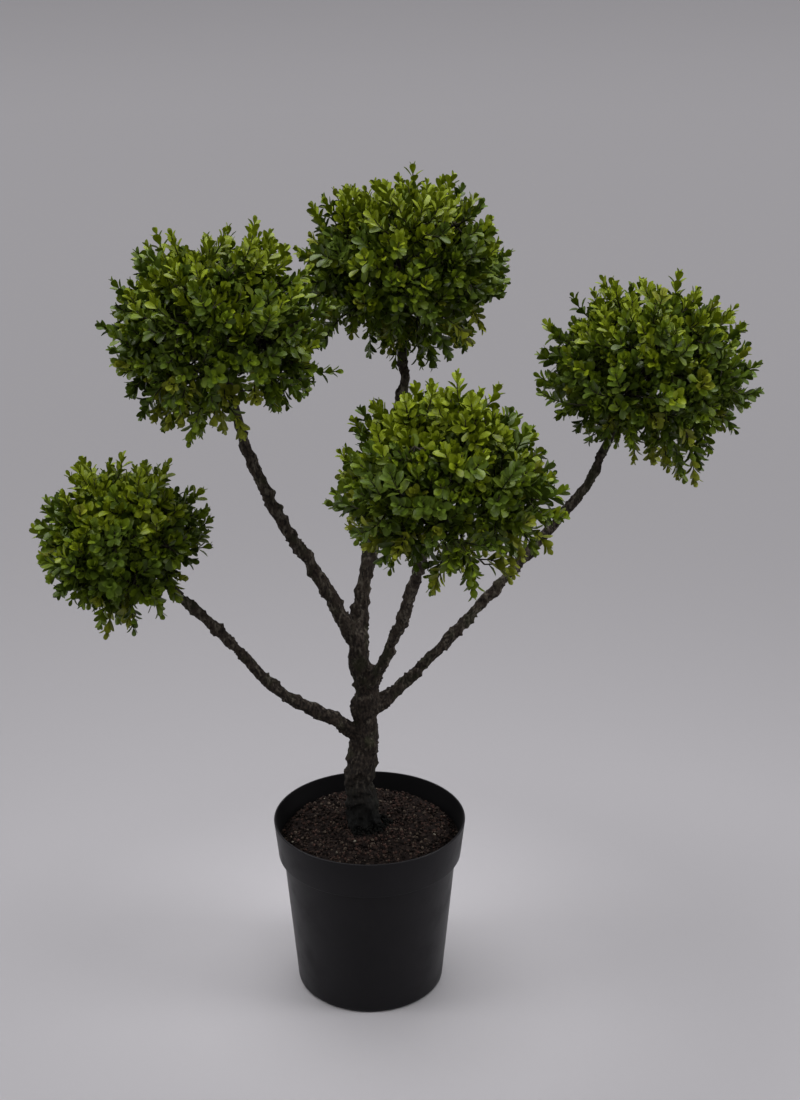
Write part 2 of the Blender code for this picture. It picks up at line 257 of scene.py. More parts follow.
# The camera, the light and the floor
view = {
    "place": (0.03, -1.571, 1.058),
    "tiltDown": 20.8,  # degrees
    "lens": 58.91,  # mm, on the 36 mm of the picture's long side
}
light = {
    "over": {"strength": 3.1, "spread": 62.0, "lean": (-8.0, -4.0)},  # a wide soft sun, in degrees
    "top": {"place": (0.0, 0.1, 2.0), "aim": (0.0, 0.0, 0.3), "size": (1.2, 0.9),
            "power": 2.2, "spread": 80.0},
    "left": {"place": (-1.7, -0.4, 1.2), "aim": (0.0, -0.1, 0.1), "size": (0.9, 1.0),
             "power": 2.1, "spread": 60.0},
    "right": {"place": (1.7, -0.4, 1.2), "aim": (0.0, -0.1, 0.1), "size": (0.9, 1.0),
              "power": 2.9, "spread": 60.0},
    "sky": 0.4,
    "tint": (1.0, 0.985, 1.01),
}
ground = {
    "flat": 7.0,  # radius of the level floor
    "cove": 4.0,  # radius of its upward curve
    "shade": (0.24, 0.2365, 0.2435),
    "middle": (0.34, 0.335, 0.344),  # painted light: the paper is painted paler round the pot, where the plant's shadow falls
    "paintedLightReach": (0.05, 0.42),
    "rings": (0.0, 0.5, 1.5),
    "coveSteps": 16,
    "steps": 96,
    "thickness": 0.05,
    "smoothAngle": 40,
}


def makeCamera():
    data = bpy.data.cameras.new("camera")
    data.sensor_width = 36.0
    data.lens = view["lens"]
    camera = shown("camera", data)
    camera.location = view["place"]
    camera.rotation_euler = (math.radians(90.0 - view["tiltDown"]), 0.0, 0.0)
    bpy.context.scene.camera = camera
    bpy.context.scene.view_settings.view_transform = "Standard"


def lampOf(name, kind, power):
    data = bpy.data.lights.new(name, kind)
    data.energy = power
    data.color = light["tint"]
    return shown(name, data), data


def makeLights():
    for name in ("top", "left", "right"):
        lamp = light[name]
        item, data = lampOf(name + "Light", "AREA", lamp["power"])
        data.shape = "RECTANGLE"
        data.size, data.size_y = lamp["size"]
        data.spread = math.radians(lamp["spread"])
        item.location = lamp["place"]
        aim = Vector(lamp["aim"]) - Vector(lamp["place"])
        item.rotation_euler = aim.to_track_quat("-Z", "Y").to_euler()
        item.visible_camera = False
    over = light["over"]
    item, data = lampOf("overLight", "SUN", over["strength"])
    data.angle = math.radians(over["spread"])
    item.location = (0.0, 0.0, 3.0)
    item.rotation_euler = [math.radians(angle) for angle in (*over["lean"], 0.0)]
    world = bpy.data.worlds.new("studio")
    world.use_nodes = True
    backdrop = world.node_tree.nodes["Background"]
    backdrop.inputs["Color"].default_value = opaque(light["tint"])
    backdrop.inputs["Strength"].default_value = light["sky"]
    bpy.context.scene.world = world


def makeFloor():
    paper = Finish("grey backdrop paper", {"Specular IOR Level": 0.2})
    # painted light: near the pot the paper is painted paler, against the plant's shadow
    pastPaintedLight = between(paper, lengthOf(paper, spot(paper)), *ground["paintedLightReach"])
    paper.feed("Base Color", blend(paper, pastPaintedLight, ground["middle"], ground["shade"]))
    paper.feed("Roughness", lumps(paper, 0.4) * 0.04 + 0.88)
    flat, cove, thick = ground["flat"], ground["cove"], ground["thickness"]
    profile = [(ring, 0.0) for ring in ground["rings"]]
    for i in range(ground["coveSteps"] + 1):
        angle = math.radians(90.0 * i / ground["coveSteps"])
        profile.append((flat + cove * math.sin(angle), cove * (1.0 - math.cos(angle))))
    edge = flat + cove + thick
    profile += [(edge, cove), (edge, -thick), (0.0, -thick)]
    floor = meshPiece("floor", *turnedMesh(profile[::-1], ground["steps"]), paper, ground["smoothAngle"])


makeCamera()
makeLights()
makeFloor()
print("camera, lights and floor are up")

# The nursery pot: a tapered shell, and a wider band under the rim
potSize = {
    "height": 0.18,
    "rimRadius": 0.0945,
    "bandHeight": 0.038,
    "bandRadius": 0.0903,
    "shoulderRadius": 0.0855,
    "footRadius": 0.0728,
    "footRound": 0.005,
    "wall": 0.0022,
    "floor": 0.003,
    "rimRound": 0.45,  # of the wall
    "bandRound": 0.0008,
    "shoulderRound": 0.0006,
    "steps": 180,
    "smoothAngle": 50,
}
potLook = {
    "plastic": (0.0036, 0.0032, 0.0042),
    "dust": (0.011, 0.0102, 0.0115),
    # painted shade: the inner wall is painted near black, for the shade inside the pot
    "inside": (0.0008, 0.0006, 0.0009),
    "gloss": (0.4, 0.55),  # roughness, from clean to dusty
    "insideGloss": 0.95,
    "insideFrom": (0.3, 0.9),  # shares of the wall, from its outer side
    "insideRise": 0.002,  # the height over which it sets in
    "dustSize": 0.03,
    "scuffSize": 0.006,
    "grainSize": 0.0012,
    "waveSize": 0.012,
}


def shelfHeight():
    # the level where the band steps out over the shell
    return potSize["height"] - potSize["bandHeight"]


def bandSlope():
    return (potSize["rimRadius"] - potSize["bandRadius"]) / potSize["bandHeight"]


def potFinish():
    finish = Finish("matt black pot plastic", {"Specular IOR Level": 0.19})
    dust = between(finish, lumps(finish, potLook["dustSize"], 5.0), 0.42, 0.75)
    scuffs = lumps(finish, potLook["scuffSize"], 2.0, stretched(finish, 0.25))
    scuffs = between(finish, scuffs, 0.55, 0.75)
    height = heightOf(finish)
    radius = lengthOf(finish, stretched(finish, 0.0))
    wall, shelf, slope = potSize["wall"], shelfHeight(), bandSlope()
    depth = height * slope + (potSize["bandRadius"] - shelf * slope) - radius  # under the outer skin
    # painted shade: inside the band the wall is painted near black, for the shade inside the pot; it is
    # also rougher there
    start, full = potLook["insideFrom"]
    inside = between(finish, depth, wall * start, wall * full)
    inside = inside * between(finish, height, shelf, shelf + potLook["insideRise"])
    shade = blend(finish, dust * 0.35 + scuffs * 0.1, potLook["plastic"], potLook["dust"])
    finish.feed("Base Color", blend(finish, inside, shade, potLook["inside"]))
    smooth, dull = potLook["gloss"]
    outer = dust * (dull - smooth) + smooth
    finish.feed("Roughness", outer + inside * (potLook["insideGloss"] - outer))
    grain = lumps(finish, potLook["grainSize"], 2.0) * 0.5 + lumps(finish, potLook["waveSize"], 1.0)
    relief(finish, grain, depth=0.00015, strength=0.6)
    return finish


def makePot():
    s = potSize
    shelf, wall = shelfHeight(), s["wall"]
    rimOut = (s["rimRadius"], s["height"])
    rimIn = (s["rimRadius"] - wall, s["height"])
    bandOut = (s["bandRadius"], shelf)
    shoulder = (s["shoulderRadius"], shelf)
    foot = (s["footRadius"], 0.0)
    stepIn = (s["bandRadius"] - wall, shelf + wall)
    shelfIn = (s["shoulderRadius"] - wall, shelf)
    profile = [(0.0, s["floor"]), (s["footRadius"] - wall, s["floor"]), shelfIn, stepIn]
    profile += roundedCorner(stepIn, rimIn, rimOut, wall * s["rimRound"])
    profile += roundedCorner(rimIn, rimOut, bandOut, wall * s["rimRound"])
    profile += roundedCorner(rimOut, bandOut, shoulder, s["bandRound"])
    profile += roundedCorner(bandOut, shoulder, foot, s["shoulderRound"])
    profile += roundedCorner(shoulder, foot, (0.0, 0.0), s["footRound"])
    profile.append((0.0, 0.0))
    piece = meshPiece("pot_shell", *turnedMesh(profile, s["steps"]), potFinish(), s["smoothAngle"])
    settle(piece, "pot", "pot")


makePot()
print("pot is turned")

# The filler: a rough bed, with loose granules strewn on it by tint
bed = {
    "belowRim": 0.024,  # where it meets the wall
    "mound": 0.012,
    "flatRadius": 0.074,
    "clearance": 0.0003,
    "rings": 55,
    "steps": 160,
    "roughness": 0.0011,
    "humps": [(0.0035, 1.0), (0.011, 1.3)],  # size, and share of the roughness
    "strewnTo": 0.985,  # of its radius
    "shade": (0.008, 0.0052, 0.0042),
    "smoothAngle": 60,
}
granules = {
    "dark": {"shade": (0.006, 0.0042, 0.0034), "share": 0.42},
    "brown": {"shade": (0.024, 0.0165, 0.013), "share": 0.31},
    "rust": {"shade": (0.036, 0.0205, 0.016), "share": 0.18},
    "tan": {"shade": (0.062, 0.048, 0.036), "share": 0.087},
    "pale": {"shade": (0.15, 0.135, 0.105), "share": 0.003},
}
strewn = {
    "count": 4700,
    "size": (0.0014, 0.0042),  # from the smallest to the largest, across
    "offWall": 0.6,  # of a grain's size
    "raised": 0.45,
    "paintedShadeFrom": (0.9, 0.99),  # past these shares of the radius, grains are all dark: painted shade along the pot's wall
    "clearOfTrunk": 0.0125,
    "seed": 5,
}
moss = {
    "centre": (-0.0015, 0.002),  # near the trunk's foot
    "shade": (0.004, 0.0043, 0.0036),
    "count": 700,
    "reach": (0.015, 0.0215),  # of its edge, from the trunk's middle
    "height": 0.008,
    "size": (0.0012, 0.0034),
    "raised": 0.2,
    "gathered": 1.5,  # the higher, the more lies close to the trunk
    "waves": [(0.12, 3.0, 1.0), (0.08, 5.0, 0.0)],  # of its edge: depth, number and start
    "seed": 8,
}


def bedHeight(radius):
    # the level of the filler at a distance from the pot's axis
    edge = bedEdge()
    share = min(1.0, max(0.0, (radius - bed["flatRadius"]) / (edge - bed["flatRadius"])))
    return potSize["height"] - bed["belowRim"] + bed["mound"] * (1.0 + math.cos(math.pi * share)) / 2.0


def bedEdge():
    # the radius of the filler where it meets the wall
    wall = potSize["wall"]
    level = potSize["height"] - bed["belowRim"]
    rise = (level - shelfHeight() - wall) * bandSlope()
    return potSize["bandRadius"] - wall + rise - bed["clearance"]


def fillerFinish(name, shade):
    finish = Finish(name, {"Specular IOR Level": 0.08})
    worn = between(finish, lumps(finish, 0.0016), 0.35, 0.7)
    finish.feed("Base Color", blend(finish, worn, *shades(shade, 0.3)))
    finish.feed("Roughness", worn * 0.15 + 0.82)
    relief(finish, lumps(finish, 0.0007), depth=0.0003, strength=0.8)
    return finish


def makeBed():
    s, edge, shelf = potSize, bedEdge(), shelfHeight()
    gap = bed["clearance"]
    inset = s["wall"] + gap
    radii = [edge * ring / bed["rings"] for ring in range(bed["rings"] + 1)]
    profile = [(radius, bedHeight(radius)) for radius in radii]
    profile += [(s["bandRadius"] - inset, shelf + inset), (s["shoulderRadius"] - inset, shelf + gap)]
    profile += [(s["footRadius"] - inset, s["floor"] + gap), (0.0, s["floor"] + gap)]
    points, triangles = turnedMesh(profile, bed["steps"])
    lowest = s["height"] - bed["belowRim"] - gap
    for point in points:
        radius = math.hypot(point[0], point[1])
        if point[2] > lowest and radius < edge * bed["strewnTo"]:
            for size, share in bed["humps"]:
                point[2] += bed["roughness"] * share * noise.noise(Vector(point) / size)
    finish = fillerFinish("dark brown filler", bed["shade"])
    settle(meshPiece("filler_bed", points, triangles, finish, bed["smoothAngle"]), "soil", "soil")


def icosahedron():
    golden = (1 + math.sqrt(5)) / 2
    points = []
    for a in (-1, 1):
        for b in (-golden, golden):
            points += [(a, b, 0), (0, a, b), (b, 0, a)]
    points = np.array(points, dtype=float)
    near = np.linalg.norm(points[:, None] - points[None], axis=2)
    faces = []
    for i, j, k in itertools.combinations(range(12), 3):
        if max(near[i, j], near[j, k], near[i, k]) < 2.1:  # its edges are 2 long
            normal = np.cross(points[j] - points[i], points[k] - points[i])
            faces.append((i, j, k) if normal.dot(points[i]) > 0 else (i, k, j))
    return points / np.linalg.norm(points[0]), np.array(faces)


def stones(rng, places, sizes, corners=(0.72, 1.12), stretch=(0.65, 1.25)):
    # angular grains: twenty-sided solids with each point moved, then turned at random
    shape, faces = icosahedron()
    count = len(places)
    points = shape[None] * rng.uniform(*corners, (count, 12, 1)) * rng.uniform(*stretch, (count, 1, 3))
    spin = rng.normal(size=(count, 4))
    spin /= np.linalg.norm(spin, axis=1)[:, None]
    w, v = spin[:, None, :1], spin[:, None, 1:]
    points = points + 2 * np.cross(v, np.cross(v, points) + w * points)
    points = points * sizes[:, None, None] / 2 + places[:, None]
    triangles = faces[None] + (np.arange(count) * 12)[:, None, None]
    return points.reshape(-1, 3), triangles.reshape(-1, 3)


def around(centre, radii, angles, levels):
    x, y = centre
    return np.stack([x + radii * np.cos(angles), y + radii * np.sin(angles), levels], axis=1)


def makeGranules():
    rng = np.random.default_rng(strewn["seed"])
    edge = bedEdge()
    count = strewn["count"]
    small, large = strewn["size"]
    radii = edge * bed["strewnTo"] * np.sqrt(rng.uniform(0.0, 1.0, count))
    angles = rng.uniform(0.0, 2 * math.pi, count)
    sizes = small + (large - small) * rng.uniform(0.0, 1.0, count) ** 2
    radii = np.minimum(radii, edge - sizes * strewn["offWall"])
    levels = np.array([bedHeight(radius) for radius in radii])
    levels += sizes * rng.uniform(0.0, strewn["raised"], count)
    places = around((0.0, 0.0), radii, angles, levels)
    clear = np.linalg.norm(places[:, :2] - moss["centre"], axis=1) > strewn["clearOfTrunk"]
    drawn = rng.uniform(0.0, 1.0, count)
    # painted shade: grains near the wall are all dark, for the shade the wall casts on the filler
    inPaintedShade = radii > edge * rng.uniform(*strewn["paintedShadeFrom"], count)
    drawn[inPaintedShade] *= granules["dark"]["share"]
    begin = 0.0
    for name, kind in granules.items():
        chosen = clear & (drawn >= begin) & (drawn < begin + kind["share"])
        begin += kind["share"]
        finish = fillerFinish(name + " filler grain", kind["shade"])
        grains = stones(rng, places[chosen], sizes[chosen])
        settle(meshPiece("filler_grains_" + name, *grains, finish), "soil", "soil")


def makeMoss():
    # a low dark cushion round the foot of the trunk
    rng = np.random.default_rng(moss["seed"])
    count = moss["count"]
    near, far = moss["reach"]
    share = rng.uniform(0.0, 1.0, count) ** moss["gathered"]
    angles = rng.uniform(0.0, 2 * math.pi, count)
    wave = 1.0 + sum(depth * np.sin(angles * number + start) for depth, number, start in moss["waves"])
    radii = (near + (far - near) * share) * wave
    sizes = rng.uniform(*moss["size"], count)
    levels = bedHeight(0.0) + moss["height"] * (1.0 - share) * rng.uniform(0.0, 1.0, count)
    levels += sizes * moss["raised"]
    places = around(moss["centre"], radii, angles, levels)
    finish = fillerFinish("dark moss", moss["shade"])
    settle(meshPiece("moss_round_trunk", *stones(rng, places, sizes), finish), "soil", "soil")


makeBed()
makeGranules()
makeMoss()
print("filler is strewn")

# The limbs: the trunk and the five boughs, one skin with the bark's relief
trunkShape = {
    "foot": (-0.0046, 0.004),
    "route": [
        (-0.0092, 0.004, 0.209), (-0.0048, 0.004, 0.25), (-0.0022, 0.005, 0.29), (-0.0054, 0.006, 0.332),
    ],
    "fork": (-0.0125, 0.008, 0.376),
    "thick": 0.0145,
    "thin": 0.0108,
    "flare": 0.0042,
    "flareHeight": 0.034,
    "lobes": 5,
    "lobeDepth": 0.12,
}
collar = {"length": 0.014, "swell": 0.3}
boughs = {
    "low_left": {
        "root": (-0.0045, 0.004, 0.262),
        "route": [(-0.034, -0.004, 0.288), (-0.085, -0.017, 0.324), (-0.129, -0.028, 0.38)],
        "thick": 0.0068, "thin": 0.005,
    },
    "right": {
        "root": (-0.001, 0.006, 0.29),
        "route": [(0.027, 0.011, 0.3125), (0.0845, 0.021, 0.371), (0.1965, 0.039, 0.498)],
        "thick": 0.0065, "thin": 0.0048,
    },
    "front": {
        "root": (-0.003, 0.003, 0.316),
        "route": [(0.0158, -0.012, 0.356), (0.0325, -0.033, 0.407)],
        "thick": 0.0063, "thin": 0.0054,
    },
    "upper_left": {
        "root": (-0.0125, 0.008, 0.366),
        "route": [(-0.0435, 0.004, 0.4275), (-0.085, -0.004, 0.502), (-0.109, -0.011, 0.5625)],
        "thick": 0.007, "thin": 0.005,
    },
    "top": {
        "root": (-0.0125, 0.009, 0.362),
        "route": [(-0.0075, 0.017, 0.3975), (0.0, 0.029, 0.44), (0.032, 0.073, 0.589)],
        "thick": 0.0073, "thin": 0.0054,
    },
}
# "outline" is how far a ball goes out, seen from the front, at every 30 degrees from +X up and
# over; the young share sets how many of its upper leaves take the young tint, partly for pale young tips
# and partly as painted light on the ball's top
balls = {
    "low_left": {
        "centre": (-0.2195, -0.05, 0.486), "reach": 0.0875, "dome": 0.93, "height": 0.98, "youthAndPaintedLight": 0.9,
        "outline": (0.95, 0.98, 1.02, 0.96, 1.04, 0.97, 0.99, 1.00, 0.85, 0.63, 0.66, 0.87),
    },
    "upper_left": {
        "centre": (-0.1345, -0.02, 0.669), "reach": 0.103, "dome": 0.95, "height": 1.01, "youthAndPaintedLight": 1.1,
        "outline": (1.08, 1.10, 1.15, 1.00, 1.10, 1.06, 0.93, 0.86, 0.78, 0.93, 0.85, 1.16),
    },
    "top": {
        "centre": (0.033, 0.11, 0.702), "reach": 0.106, "dome": 0.86, "height": 0.94, "youthAndPaintedLight": 1.4,
        "outline": (1.05, 0.97, 1.10, 1.12, 1.07, 1.08, 1.07, 1.12, 0.80, 0.77, 1.04, 1.14),
    },
    "front": {
        "centre": (0.069, -0.1, 0.557), "reach": 0.1045, "dome": 0.97, "height": 0.96, "youthAndPaintedLight": 1.1,
        "outline": (1.04, 0.93, 1.00, 0.99, 0.99, 0.99, 1.02, 0.94, 0.77, 0.96, 1.10, 0.99),
    },
    "right": {
        "centre": (0.2595, 0.05, 0.617), "reach": 0.104, "dome": 0.93, "height": 0.94, "youthAndPaintedLight": 0.9,
        "outline": (1.05, 0.94, 0.97, 0.98, 0.95, 1.04, 1.05, 1.00, 0.67, 0.64, 1.00, 0.99),
    },
}
boughEndsAt = 0.8  # of the ball's reach, from its centre
bark = {
    "lumps": (0.3, 0.024),  # share of the radius, and size
    "knots": (0.34, 0.01),
    "ridges": (0.0006, 0.0042),  # height, and size
    "ridgeDepth": 2.2,  # of the furrows between ridges, in heights
    "grit": (0.0006, 0.0022),
    "ridgeLength": 0.45,  # how far ridges are drawn out along the limb
    "warts": 900,
    "wartHeight": (0.0006, 0.0019),
    "wartRadius": (0.001, 0.0022),
    "shrink": 0.0009,  # taken off all round, to make room for the relief
    "knobHeight": 0.75,  # of a knob's radius
    "voxel": 0.00101,
    "softening": (0.5, 4),  # how much, and how often
    "ringSpacing": 0.0016,
    "sides": 40,
    "seed": 3,
}
# knobs on the limbs, seen from the front: across, height and radius
knobs = [
    (-0.1357, 0.3980, 0.0046), (-0.1590, 0.4229, 0.0034), (-0.0868, 0.3348, 0.0034),
    (-0.0646, 0.3175, 0.0030), (-0.0506, 0.3094, 0.0034), (-0.1458, 0.3911, 0.0030),
    (-0.1081, 0.3404, 0.0028), (-0.0489, 0.2932, 0.0028), (-0.0867, 0.5196, 0.0036),
    (-0.0798, 0.5053, 0.0032), (-0.0657, 0.4787, 0.0032), (-0.0532, 0.4559, 0.0032),
    (-0.0690, 0.4590, 0.0030), (-0.0556, 0.4359, 0.0030), (-0.0446, 0.4181, 0.0030),
    (-0.0110, 0.4114, 0.0034), (-0.0149, 0.3966, 0.0034), (0.0033, 0.4373, 0.0028),
    (-0.0205, 0.2260, 0.0040), (-0.0174, 0.3040, 0.0034), (0.0075, 0.2120, 0.0050),
]
barkLook = {
    "deep": (0.009, 0.0066, 0.0052),
    "bare": (0.03, 0.0228, 0.017),
    "worn": (0.104, 0.091, 0.07),
    "moss": (0.026, 0.028, 0.014),
    "foot": (0.004, 0.0042, 0.0036),
    "footRise": (0.18, 0.264),  # from where the dark moss is full to where it ends
    "paintedLightRise": (0.29, 0.43),  # painted light: from here up, the bark is painted paler, where the balls shade the boughs
    "paintedLightUp": 0.07,
    "crackSize": 0.0022,
    "wornSize": 0.0042,
    "mossSize": 0.022,
    "gritSize": 0.0009,
}


def barkFinish():
    finish = Finish("rough dark bark", {"Specular IOR Level": 0.18})
    height = heightOf(finish)
    # painted light: higher up, the bark is painted paler, with fewer cracks and more worn patches, where
    # the balls shade the boughs
    upper = between(finish, height, *barkLook["paintedLightRise"]) * barkLook["paintedLightUp"]
    pattern = lumps(finish, barkLook["crackSize"], 5.0, stretched(finish, 0.55))
    cracks = between(finish, pattern + upper, 0.4, 0.62)
    worn = lumps(finish, barkLook["wornSize"], 6.0, stretched(finish, 0.4))
    worn = between(finish, worn + upper, 0.52, 0.74)
    mossy = between(finish, lumps(finish, barkLook["mossSize"]), 0.5, 0.66)
    shade = blend(finish, cracks, barkLook["deep"], barkLook["bare"])
    shade = blend(finish, mossy * 0.6, shade, barkLook["moss"])
    shade = blend(finish, worn * cracks * 0.8, shade, barkLook["worn"])
    full, none = barkLook["footRise"]
    above = between(finish, height + mossy * 0.006, full, none)
    finish.feed("Base Color", blend(finish, above, barkLook["foot"], shade))
    finish.feed("Roughness", 0.92 - worn * 0.12)
    relief(finish, pattern + lumps(finish, barkLook["gritSize"]) * 0.5, depth=0.0008, strength=0.8)
    return finish


def barkRelief(point):
    # the source's own relief, as a share of the limb's radius
    coarse, coarseSize = bark["lumps"]
    fine, fineSize = bark["knots"]
    return 1.0 + coarse * noise.noise(point / coarseSize) + fine * noise.noise(point / fineSize)


def limbSkin(path, radiusAt):
    # rings round a path, closed at both ends
    sides = bark["sides"]
    points = []
    for i, (centre, (along, across, over)) in enumerate(zip(path, framesAlong(path))):
        share = i / (len(path) - 1)
        for side in range(sides):
            angle = 2 * math.pi * side / sides
            outward = across * math.cos(angle) + over * math.sin(angle)
            radius = radiusAt(share, angle)
            points.append(centre + outward * radius * barkRelief(centre + outward * radius))
    count = len(points)
    points += [path[0], path[-1]]
    triangles = ringFaces(len(path), sides)
    for side in range(sides):
        following = (side + 1) % sides
        triangles.append((count, following, side))
        triangles.append((count + 1, count - sides + side, count - sides + following))
    return np.array(points), np.array(triangles)


def trunkPath():
    foot = (*trunkShape["foot"], bedHeight(0.0) + bed["clearance"])
    return smoothPath([foot, *trunkShape["route"], trunkShape["fork"]], bark["ringSpacing"])


def boughPath(name, spacing):
    # from inside the trunk to where the bough ends in its ball
    centre = Vector(balls[name]["centre"])
    last = Vector(boughs[name]["route"][-1])
    end = centre + (last - centre).normalized() * balls[name]["reach"] * boughEndsAt
    return smoothPath([boughs[name]["root"], *boughs[name]["route"], end], spacing)


def trunkRadius(path):
    height = path[-1].z - path[0].z

    def radiusAt(share, angle):
        flare = math.exp(-share * height / trunkShape["flareHeight"])
        lobed = 1.0 + trunkShape["lobeDepth"] * math.cos(trunkShape["lobes"] * angle)
        taper = trunkShape["thick"] + (trunkShape["thin"] - trunkShape["thick"]) * share
        return taper + trunkShape["flare"] * flare * lobed

    return radiusAt


def boughRadius(name, path):
    thick, thin = boughs[name]["thick"], boughs[name]["thin"]
    length = bark["ringSpacing"] * (len(path) - 1)

    def radiusAt(share, angle):
        fromTrunk = max(0.0, share * length - trunkShape["thick"])
        swell = 1.0 + collar["swell"] * math.exp(-fromTrunk / collar["length"])
        return (thick + (thin - thick) * share) * swell

    return radiusAt


def gapsTo(centres, points, share=4000):
    # how far points are from every centre, a share of the points at a time
    for part in np.array_split(points, max(1, len(points) // share)):
        yield np.linalg.norm(part[:, None] - centres[None], axis=2)


def roughen(mesh, paths, rng):
    # ridges along the limb, grit and warts, by moving each point along its normal
    count = len(mesh.vertices)
    points = np.empty(count * 3)
    normals = np.empty(count * 3)
    mesh.vertices.foreach_get("co", points)
    mesh.vertices.foreach_get("normal", normals)
    points, normals = points.reshape(-1, 3), normals.reshape(-1, 3)
    centres = np.array([centre for path in paths for centre in path])
    frames = np.array([framesAt for path in paths for framesAt in framesAlong(path)])
    runs = np.concatenate([np.arange(len(path)) * bark["ringSpacing"] + 10.0 * i
                           for i, path in enumerate(paths)])  # far apart, so that no two limbs match
    nearest = np.concatenate([gaps.argmin(1) for gaps in gapsTo(centres, points)])
    offset = points - centres[nearest]
    ahead, across, over = (np.einsum("ij,ij->i", offset, frames[nearest, k]) for k in range(3))
    local = np.stack([across, over, (runs[nearest] + ahead) * bark["ridgeLength"]], axis=1)
    ridgeHeight, ridgeSize = bark["ridges"]
    gritHeight, gritSize = bark["grit"]
    lift = np.array([
        ridgeHeight * (1.0 - bark["ridgeDepth"] * abs(noise.noise(Vector(there) / ridgeSize)))
        + gritHeight * noise.noise(Vector(here) / gritSize)
        for there, here in zip(local, points)
    ])
    for at in rng.choice(count, bark["warts"], replace=False):
        height = rng.uniform(*bark["wartHeight"])
        radius = rng.uniform(*bark["wartRadius"])
        lift += height * np.exp(-((points - points[at]) ** 2).sum(1) / radius**2)
    for x, z, radius in knobs:
        at = np.hypot(centres[:, 0] - x, centres[:, 2] - z).argmin()
        knob = np.array([x, centres[at, 1], z])
        lift += bark["knobHeight"] * radius * np.exp(-((points - knob) ** 2).sum(1) / radius**2)
    points = points + normals * (lift - bark["shrink"])[:, None]
    foot = bedHeight(0.0) + bed["clearance"]
    points[:, 2] = np.maximum(points[:, 2], foot)
    mesh.vertices.foreach_set("co", points.ravel())
    mesh.update()


def makeLimbs():
    finish = barkFinish()
    paths = [trunkPath()]
    skins = [limbSkin(paths[0], trunkRadius(paths[0]))]
    for name in boughs:
        path = boughPath(name, bark["ringSpacing"])
        paths.append(path)
        skins.append(limbSkin(path, boughRadius(name, path)))
    piece = meshPiece("bark_of_trunk_and_boughs", *joined(skins), finish)
    remesh = piece.modifiers.new("One skin", "REMESH")
    remesh.mode = "VOXEL"
    remesh.voxel_size = bark["voxel"]
    soften = piece.modifiers.new("Soft forks", "SMOOTH")
    soften.factor, soften.iterations = bark["softening"]
    graph = bpy.context.evaluated_depsgraph_get()
    skin = bpy.data.meshes.new_from_object(piece.evaluated_get(graph))
    piece.modifiers.clear()
    piece.data = skin
    roughen(skin, paths, np.random.default_rng(bark["seed"]))
    skin.shade_smooth()
    settle(piece, "bark", "trunk", *("bough_" + name for name in boughs))
    print("  bark:", len(skin.polygons), "faces")
    return paths


limbPaths = makeLimbs()
print("trunk and boughs have their bark")

# The balls of leaves: twigs fork from a stem, shoots from the twigs, sprays from the shoots
growth = {
    "twigs": 12,
    "forkAt": 0.5,
    "shoots": 32,
    "shootsEndAt": 0.76,
    "sprays": 560,
    "innerSprays": 260,
    "forReach": 0.1,  # shoots and sprays are counted for a ball of this reach
    "jitter": 0.06,
    "sprayJitter": 0.11,
    "spraysStartAt": (0.15, 0.75),  # along their shoot
    "spraysEndAt": (0.67, 0.97),
    "evenness": 1.7,  # the higher, the fewer sprays stand out
    "innerStartAt": (0.0, 0.3),
    "innerEndAt": (0.46, 0.74),
    "innerAbove": -0.22,  # none lower down
    "droop": 0.102,  # of the reach
    "shootDroop": 0.6,  # of that of sprays
    "upturn": 0.75,  # how much sprays turn up on top and hang down underneath
    "downturn": 1.6,
    "turnFrom": (-0.3, 0.25),  # the height where up becomes down, and the change to full
    "headingJitter": 0.25,
    "arch": 0.3,  # how far the underside stays clear of the bough
    "archFrom": (0.66, 0.32),  # how near a direction is to the bough's, and the change to full
    "tassels": 0.5,  # share of the low sprays that hang further
    "tasselsBelow": -0.4,
    "tasselDrop": (0.008, 0.026),
    "lumpiness": 0.1,
    "lumpSize": 0.36,
    "tuftSize": 0.4,
    "tuftFullness": 0.62,
    "offLimbs": 0.0085,  # leaves nearer to a limb's middle are left out
    "firstSeed": 11,
}
stem = {
    "sunk": 0.004,  # into its bough
    "onward": 0.4,  # of the reach, before it turns up
    "endAt": 0.15,
    "thick": 0.92,  # of its bough
    "steps": 6,
}
twigSize = {"twig": 0.002, "shoot": 0.0014, "spray": (0.0008, 0.0006)}
twigSides = {"stem": 8, "twig": 6, "shoot": 5, "spray": 3}
twigShades = {"dark": (0.016, 0.013, 0.008), "light": (0.045, 0.04, 0.018)}
leafShape = {
    "length": 0.013,
    "width": 0.007,
    "vary": (0.88, 1.12),  # in length, from spray to spray
    "pairs": 7,
    "pairSpacing": 0.0046,
    "spacingVary": (0.92, 1.08),
    "lowestPair": 0.92,  # of the spray's length, from its tip
    "tipPairs": 3,  # that take the tip's tint
    "middlePairs": 5,
    "tilts": (14.0, 26.0, 34.0, 40.0, 45.0, 49.0, 53.0),  # degrees from the stem, from the tip down
    "loose": {"tilt": 9.0, "turn": 16.0, "roll": 14.0},  # degrees, either way
    "sizes": (0.62, 0.84, 0.96, 1.0, 1.0, 0.95, 0.9),
    "sizeVary": (0.9, 1.1),
    "widthVary": (0.9, 1.12),
    "rows": [(0.0, 0.12), (0.27, 0.52), (0.56, 0.96), (0.8, 0.92), (0.96, 0.46)],
    "innerRows": [(0.0, 0.15), (0.5, 0.95), (0.9, 0.7)],
    "fold": 0.16,
    "foldVary": (0.5, 1.5),
    "curl": 0.14,
    "curlVary": (-0.2, 1.6),
    "stub": 0.006,  # the bare end of a spray's stem
    "stubs": 0.3,  # share of the sprays that have one
}
